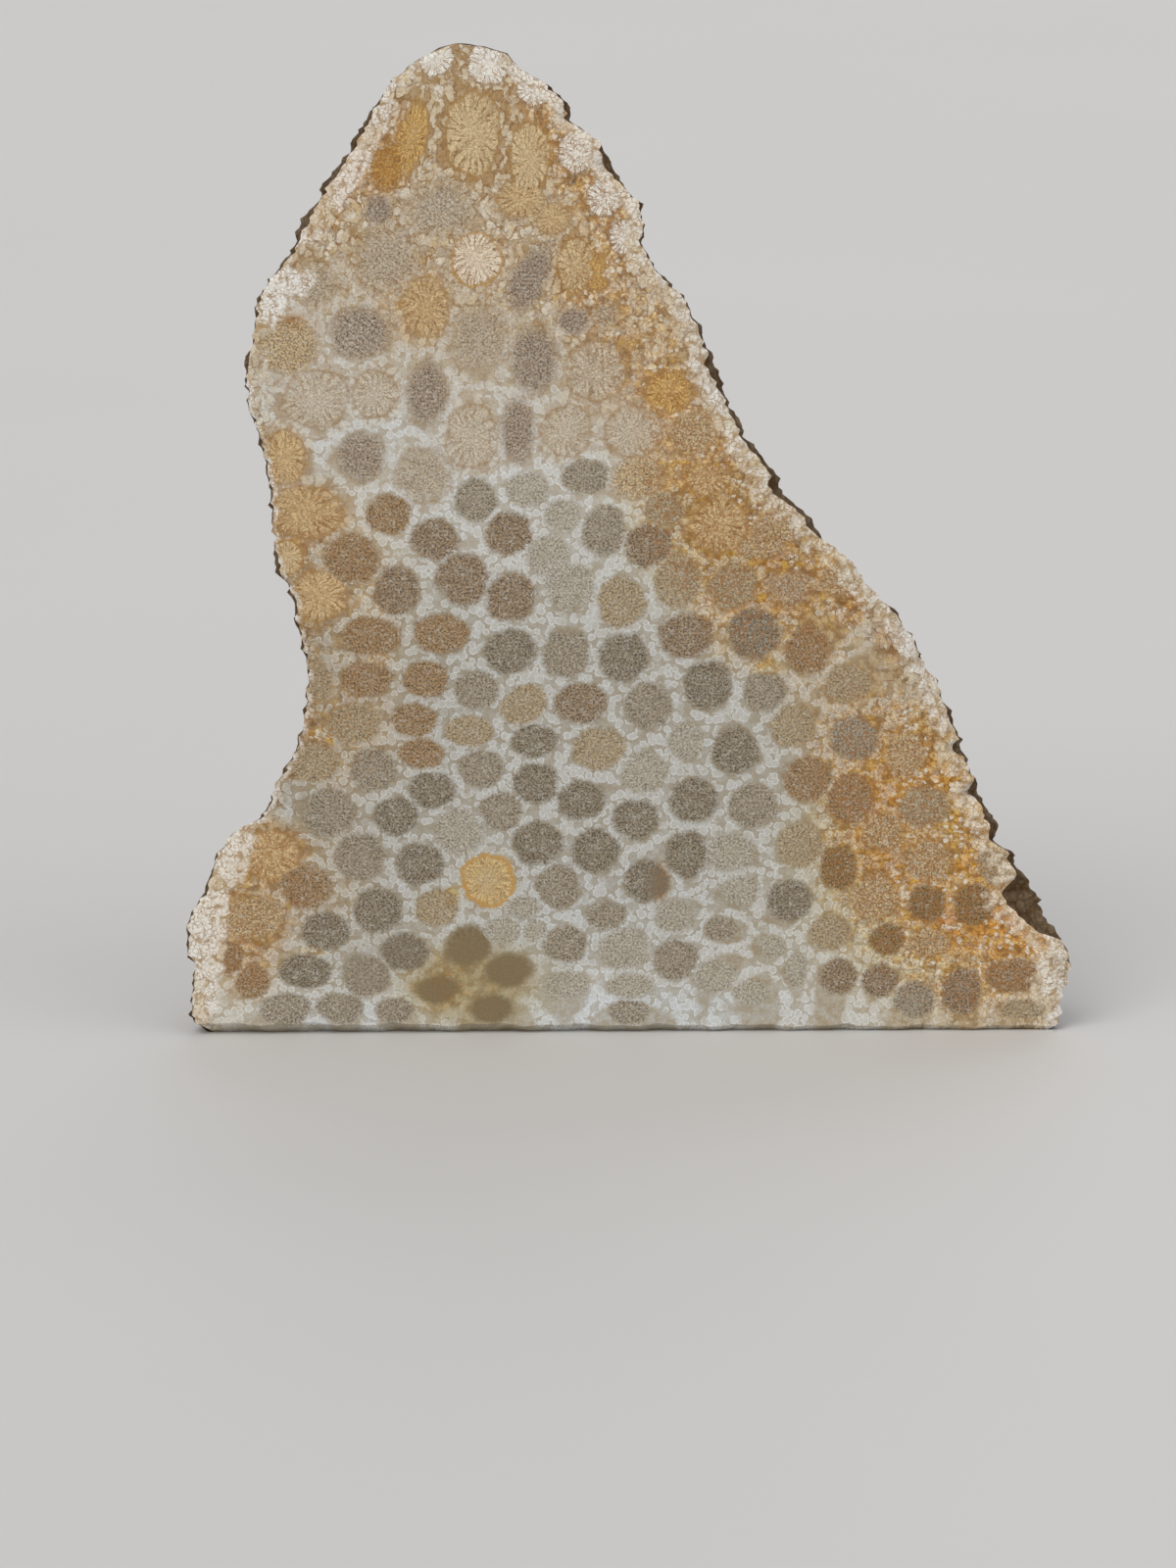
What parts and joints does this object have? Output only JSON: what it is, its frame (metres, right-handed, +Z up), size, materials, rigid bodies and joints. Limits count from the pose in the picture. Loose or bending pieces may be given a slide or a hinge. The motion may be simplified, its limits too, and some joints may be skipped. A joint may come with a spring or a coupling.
{
  "type": "fossil coral head",
  "caption": "Head of fossil coral, sawn and polished flat on the front to show its coral cups, sawn flat underneath to stand, rough rind behind.",
  "frame": {"origin": "middle of the bounding box, on the plane the head stands on", "axes": "+Z up; -Y out of the polished face; +X to the right of a person looking at the polished face"},
  "size_m": [0.1764, 0.0712, 0.2],
  "materials": {
    "fossil_coral": "polished on the front face, rough and weathered elsewhere"
  },
  "bodies": {
    "root": {"coral_head": "fossil_coral"}
  },
  "joints": []
}
